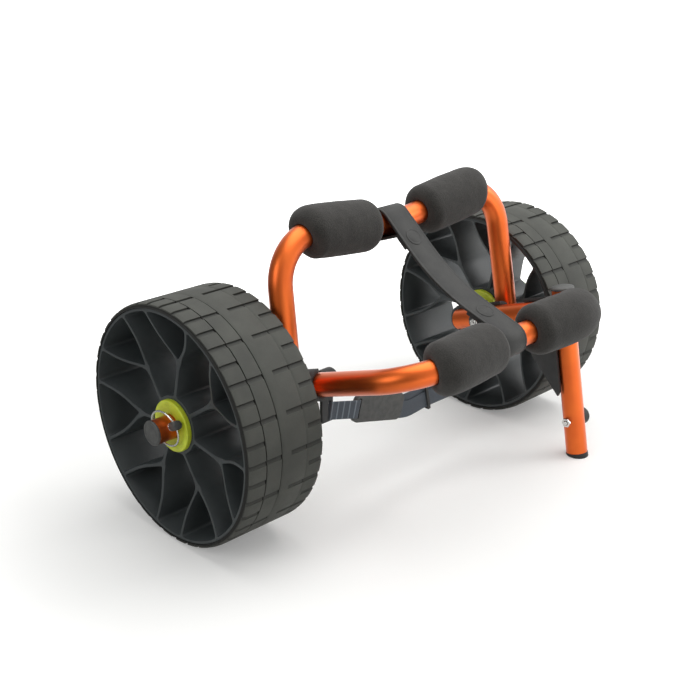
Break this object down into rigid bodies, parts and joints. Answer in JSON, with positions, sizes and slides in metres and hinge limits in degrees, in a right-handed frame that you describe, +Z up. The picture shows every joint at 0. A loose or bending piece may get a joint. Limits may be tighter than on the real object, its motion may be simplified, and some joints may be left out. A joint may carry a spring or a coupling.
{
  "type": "folding watercraft cart",
  "caption": "Folding two-wheeled trolley for a canoe or kayak: hinged U-shaped tube frames with foam pads, wide wheels and a fold-down stand",
  "frame": {"origin": "on the ground under the middle of the part's outer box, with the cart open and standing on its wheels and stand", "axes": "+X along the wheel axle towards the wheel beside the stand, -Y towards the stand and the front frame's crossbar, +Y to the rear, +Z up"},
  "size_m": [0.6016, 0.3574, 0.3298],
  "materials": {
    "anodised": "satin orange anodised",
    "foam": "matte fine-celled foam",
    "moulded": "fine moulded grain",
    "cap": "matte moulded",
    "tyre": "matte",
    "rim": "satin moulded",
    "lime": "satin moulded",
    "steel": "bright zinc plate",
    "strap_rubber": "matte",
    "webbing": "ribbed weave"
  },
  "bodies": {
    "chassis": {"axle_stub_left": "anodised", "axle_cap_left": "cap", "lock_pin_left": "steel", "hub_bracket_left": "moulded", "pivot_bolt_left": "steel", "pivot_nut_left": "steel", "arm_plug_left": "moulded", "strap_link_left": "moulded", "front_pad_left": "foam", "axle_stub_right": "anodised", "axle_cap_right": "cap", "lock_pin_right": "steel", "hub_bracket_right": "moulded", "pivot_bolt_right": "steel", "pivot_nut_right": "steel", "arm_plug_right": "moulded", "strap_link_right": "moulded", "front_pad_right": "foam", "front_frame": "anodised", "spreader_strap": "strap_rubber", "strap_stud_front": "strap_rubber", "strap_stud_rear": "strap_rubber", "stand_bracket": "moulded", "stand_bolt": "steel", "stand_nut": "steel", "webbing_left": "webbing", "webbing_right": "webbing", "webbing_tail": "webbing", "strap_keeper": "moulded", "buckle_pad": "cap", "buckle_chassis": "steel"},
    "wheel_left": {"tyre_left": "tyre", "rim_left": "rim", "outer_bush_left": "lime", "inner_bush_left": "lime"},
    "wheel_right": {"tyre_right": "tyre", "rim_right": "rim", "outer_bush_right": "lime", "inner_bush_right": "lime"},
    "rear": {"rear_frame": "anodised", "rear_pad_left": "foam", "rear_pad_right": "foam", "leg_plug_left": "moulded", "leg_plug_right": "moulded"},
    "stand": {"stand_leg": "anodised", "stand_top_cap": "cap", "stand_foot": "strap_rubber", "stand_bumper": "strap_rubber", "bumper_stud": "steel", "bumper_nut": "steel"},
    "ring_left": {"lock_ring_left": "steel"},
    "ring_right": {"lock_ring_right": "steel"},
    "lever": {"buckle_lever": "moulded"}
  },
  "joints": [
    {"name": "wheel_left_spin", "type": "hinge", "parent": "chassis", "child": "wheel_left", "pos_m": [-0.235, 0.05169, 0.127], "axis": [1, 0, 0], "continuous": true},
    {"name": "wheel_right_spin", "type": "hinge", "parent": "chassis", "child": "wheel_right", "pos_m": [0.235, 0.05169, 0.127], "axis": [1, 0, 0], "continuous": true},
    {"name": "rear_frame_fold", "type": "hinge", "parent": "chassis", "child": "rear", "pos_m": [0, -0.01187, 0.15131], "axis": [1, 0, 0], "range_deg": [0, 50], "deforming": ["spreader_strap", "strap_stud_front", "strap_stud_rear"]},
    {"name": "stand_fold", "type": "hinge", "parent": "chassis", "child": "stand", "pos_m": [0.1747, -0.09239, 0.17856], "axis": [-1, 0, 0], "range_deg": [0, 98]},
    {"name": "lock_ring_left_swing", "type": "hinge", "parent": "chassis", "child": "ring_left", "pos_m": [-0.284, 0.03409, 0.13597], "axis": [-0.165, 0.4478, 0.8788], "range_deg": [0, 140]},
    {"name": "lock_ring_right_swing", "type": "hinge", "parent": "chassis", "child": "ring_right", "pos_m": [0.284, 0.03409, 0.13597], "axis": [-0.165, -0.4478, -0.8788], "range_deg": [0, 140]},
    {"name": "buckle_lever_press", "type": "hinge", "parent": "chassis", "child": "lever", "pos_m": [-0.04957, -0.00497, 0.09729], "axis": [0.2588, 0, 0.9659], "range_deg": [0, 60]}
  ]
}
